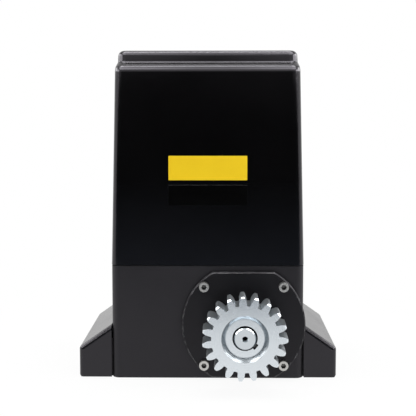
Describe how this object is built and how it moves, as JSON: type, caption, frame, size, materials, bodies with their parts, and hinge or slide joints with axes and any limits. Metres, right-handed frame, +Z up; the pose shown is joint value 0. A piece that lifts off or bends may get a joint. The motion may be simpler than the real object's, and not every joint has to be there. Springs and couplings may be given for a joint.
{
  "type": "gate motor",
  "caption": "Sliding gate motor: black cover on a cast base, toothed rack pinion on a round flange at the front, foot covers at both sides, worm drive inside and a hand release at the back.",
  "frame": {"origin": "centre of the foot slots on the base's underside", "axes": "+Z up, -Y towards the pinion, +X to the right as seen from the pinion side"},
  "size_m": [0.27, 0.25, 0.3412],
  "materials": {
    "cover_plastic": "black moulding, fine satin grain",
    "casting_paint": "black powder coat",
    "foot_plastic": "black moulding, satin",
    "flange_paint": "black coat with a bright turned edge",
    "zinc_steel": "zinc plated, cut teeth",
    "screw_steel": "bright screw steel",
    "dark_steel": "oiled steel",
    "bearing_steel": "ground bearing steel",
    "seal_rubber": "black rubber",
    "bronze": "cut bronze",
    "worm_steel": "ground steel",
    "cast_alloy": "cast and machined alloy",
    "lamination": "stacked sheets",
    "copper_wire": "varnished copper wire",
    "board_laminate": "green board",
    "component_black": "black moulding",
    "relay_blue": "blue moulding",
    "terminal_green": "green moulding",
    "capacitor_white": "white can",
    "sheet_zinc": "zinc plated sheet",
    "lever_paint": "black coat",
    "lock_chrome": "plated"
  },
  "bodies": {
    "housing": {"base_casting": "casting_paint", "deck_plate": "cast_alloy", "deck_screws": "screw_steel", "output_flange": "flange_paint", "flange_screws": "screw_steel", "output_oil_seal": "seal_rubber", "output_front_bearing": "bearing_steel", "output_rear_bearing": "bearing_steel", "top_cover": "cover_plastic", "cover_seal": "seal_rubber", "cover_screws": "screw_steel", "left_foot_cover": "foot_plastic", "right_foot_cover": "foot_plastic", "left_foot_bracket": "casting_paint", "right_foot_bracket": "casting_paint", "foot_screws": "screw_steel", "cable_grommet": "seal_rubber", "lock_keeper": "sheet_zinc", "motor_flange": "cast_alloy", "stator_core": "lamination", "stator_windings": "copper_wire", "motor_end_cap": "cast_alloy", "motor_tie_bolts": "screw_steel", "worm_lower_bearing": "bearing_steel", "worm_upper_bearing": "bearing_steel", "motor_top_bearing": "bearing_steel", "motor_oil_seal": "seal_rubber", "board_bracket": "sheet_zinc", "board_standoffs": "sheet_zinc", "control_board": "board_laminate", "relays": "relay_blue", "terminal_blocks": "terminal_green", "control_chips": "component_black", "run_capacitor": "capacitor_white", "capacitor_clip": "sheet_zinc", "transformer_core": "lamination", "transformer_winding": "copper_wire", "sensor_bracket": "sheet_zinc", "limit_sensor": "component_black"},
    "output": {"output_shaft": "zinc_steel", "pinion_gear": "zinc_steel", "pinion_key": "dark_steel", "pinion_grub_screw": "screw_steel", "spacer_sleeve": "dark_steel", "worm_wheel": "bronze", "wheel_hub": "dark_steel", "retaining_ring": "dark_steel", "clutch_key": "dark_steel", "spring_washer": "dark_steel", "clutch_spring": "dark_steel"},
    "clutch": {"clutch_sleeve": "dark_steel"},
    "rotor": {"worm_shaft": "worm_steel", "rotor_core": "lamination"},
    "release_slider": {"release_rod": "dark_steel", "clutch_fork": "dark_steel"},
    "lever": {"release_lever": "lever_paint", "lever_pin": "dark_steel"},
    "lock": {"lock_plug": "lock_chrome"}
  },
  "joints": [
    {"name": "rotor_spin", "type": "hinge", "parent": "housing", "child": "rotor", "pos_m": [-0.014, -0.017, 0.1], "axis": [0, 0, 1], "continuous": true},
    {"name": "output_spin", "type": "hinge", "parent": "housing", "child": "output", "pos_m": [0.0375, -0.1, 0.0572], "axis": [0, -1, 0], "continuous": true},
    {"name": "release_slide", "type": "slide", "parent": "housing", "child": "release_slider", "axis": [0, 1, 0], "range_m": [0, 0.006]},
    {"name": "lever_swing", "type": "hinge", "parent": "release_slider", "child": "lever", "pos_m": [0.0375, 0.0873, 0.0932], "axis": [0, 0, -1], "range_deg": [0, 90]},
    {"name": "lock_turn", "type": "hinge", "parent": "lever", "child": "lock", "pos_m": [-0.0145, 0.088, 0.0932], "axis": [0, -1, 0], "range_deg": [0, 90]},
    {"name": "clutch_slide", "type": "slide", "parent": "output", "child": "clutch", "axis": [0, 1, 0], "range_m": [0, 0.006], "deforming": ["clutch_spring"]}
  ],
  "couplings": [
    {"joint": "output_spin", "follows": "rotor_spin", "ratio": 0.033333},
    {"joint": "release_slide", "follows": "lever_swing", "m_per_rad": 0.0038197},
    {"joint": "clutch_slide", "follows": "lever_swing", "m_per_rad": 0.0038197}
  ]
}
